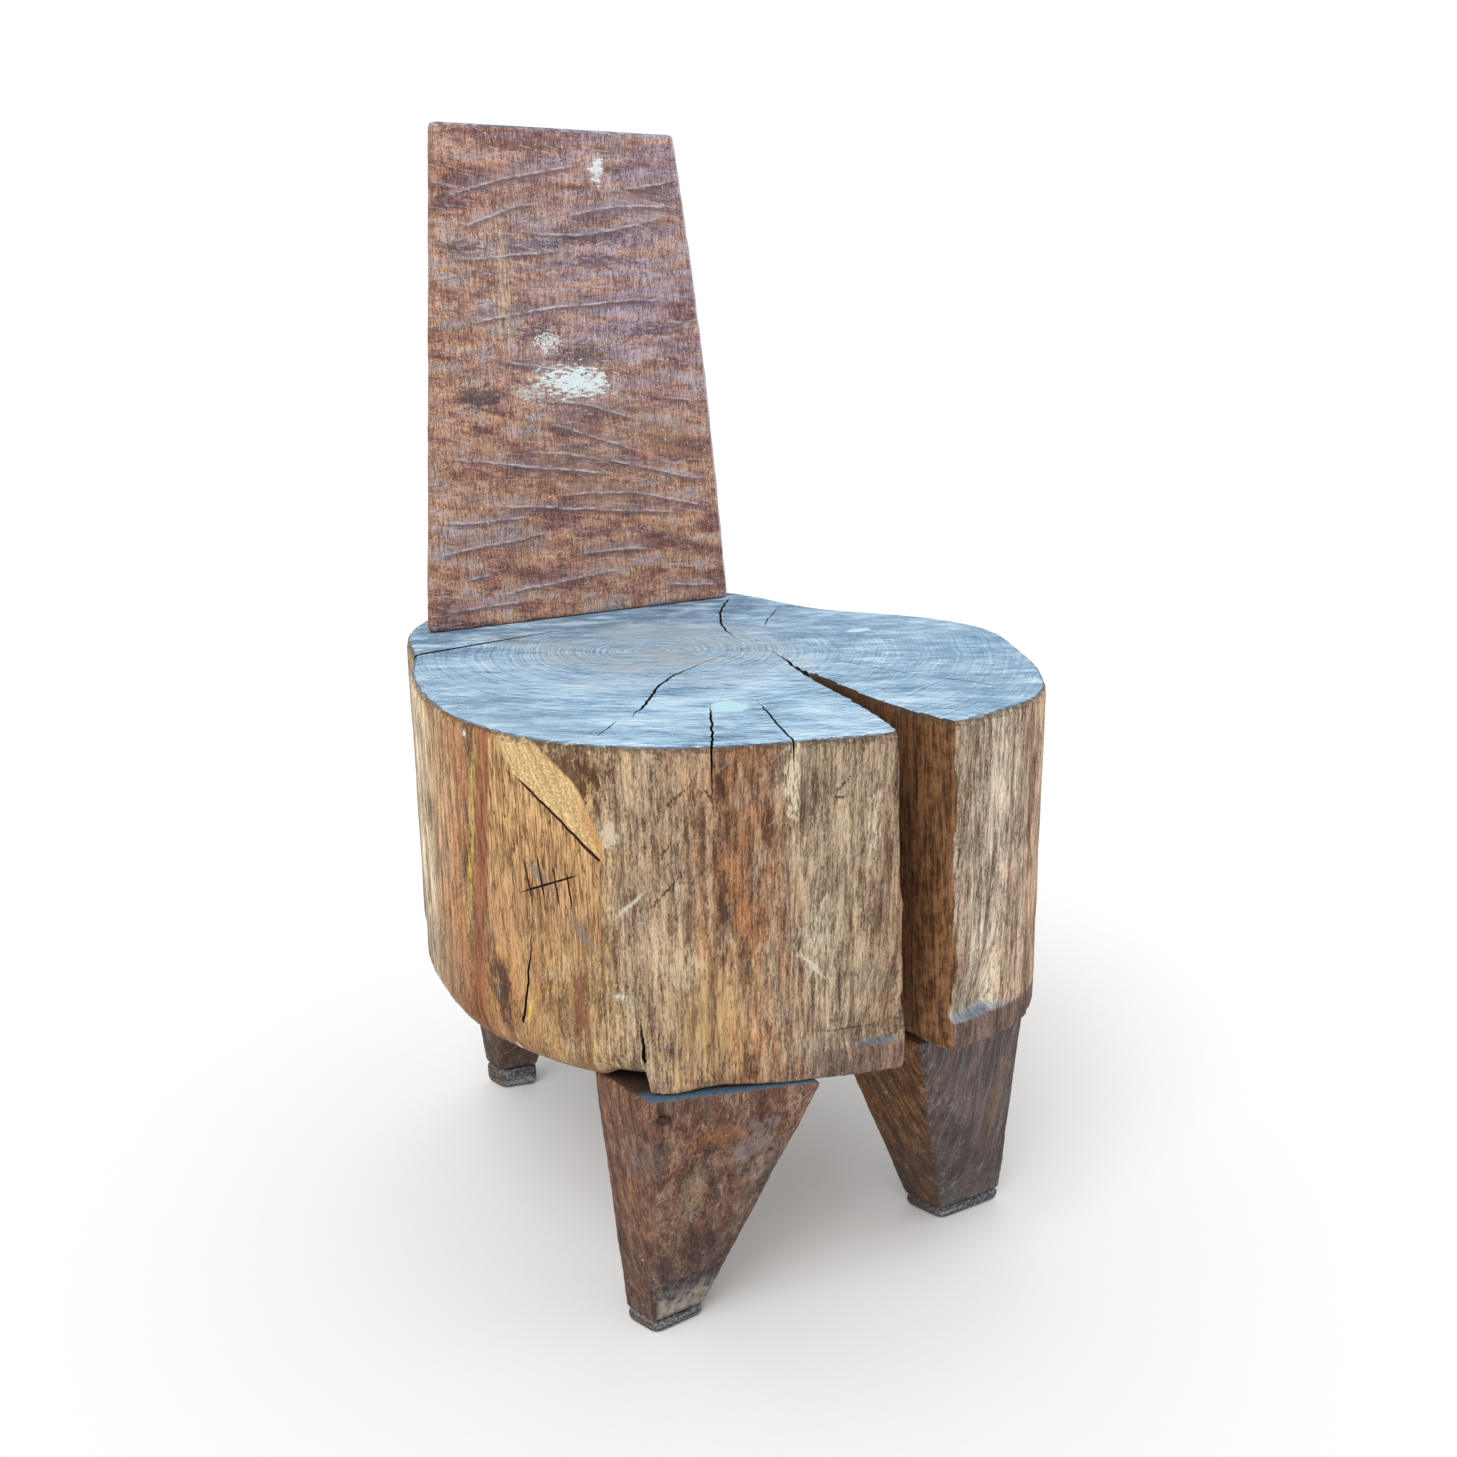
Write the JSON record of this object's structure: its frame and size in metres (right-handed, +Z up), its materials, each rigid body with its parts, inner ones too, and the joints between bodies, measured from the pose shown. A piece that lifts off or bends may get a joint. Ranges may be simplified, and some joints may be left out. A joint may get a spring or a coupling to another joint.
{
  "type": "carved log chair",
  "caption": "Rustic low chair: a split round log block as the seat, a tapered hewn back slab pegged into it, and wedge legs tenoned under it on worn foot pads.",
  "frame": {"origin": "middle of the bounding box, on the floor under the chair", "axes": "+Z up; -Y is the chair's front, the way a sitter faces; +X is to the right seen from the front"},
  "size_m": [0.4305, 0.4996, 0.785],
  "materials": {
    "seat_wood": "weathered end grain above, streaked sapwood on the side",
    "back_wood": "hewn, dry, red brown with grey tool marks",
    "leg_wood": "hewn, dark, worn",
    "pad_wood": "grey worn end grain",
    "peg_wood": "dry end grain",
    "nail_iron": "rusted"
  },
  "bodies": {
    "root": {"seat_block": "seat_wood", "back_slab": "back_wood", "back_peg_left": "peg_wood", "back_peg_right": "peg_wood", "leg_front_left": "leg_wood", "leg_front_right": "leg_wood", "leg_rear_left": "leg_wood", "leg_rear_right": "leg_wood", "leg_nail_front_left": "nail_iron", "leg_nail_front_right": "nail_iron", "leg_nail_rear_left": "nail_iron", "leg_nail_rear_right": "nail_iron", "foot_pad_front_left": "pad_wood", "foot_pad_front_right": "pad_wood", "foot_pad_rear_left": "pad_wood", "foot_pad_rear_right": "pad_wood", "pad_nail_front_left_1": "nail_iron", "pad_nail_front_left_2": "nail_iron", "pad_nail_front_right_1": "nail_iron", "pad_nail_front_right_2": "nail_iron", "pad_nail_rear_left_1": "nail_iron", "pad_nail_rear_left_2": "nail_iron", "pad_nail_rear_right_1": "nail_iron", "pad_nail_rear_right_2": "nail_iron"}
  },
  "joints": []
}
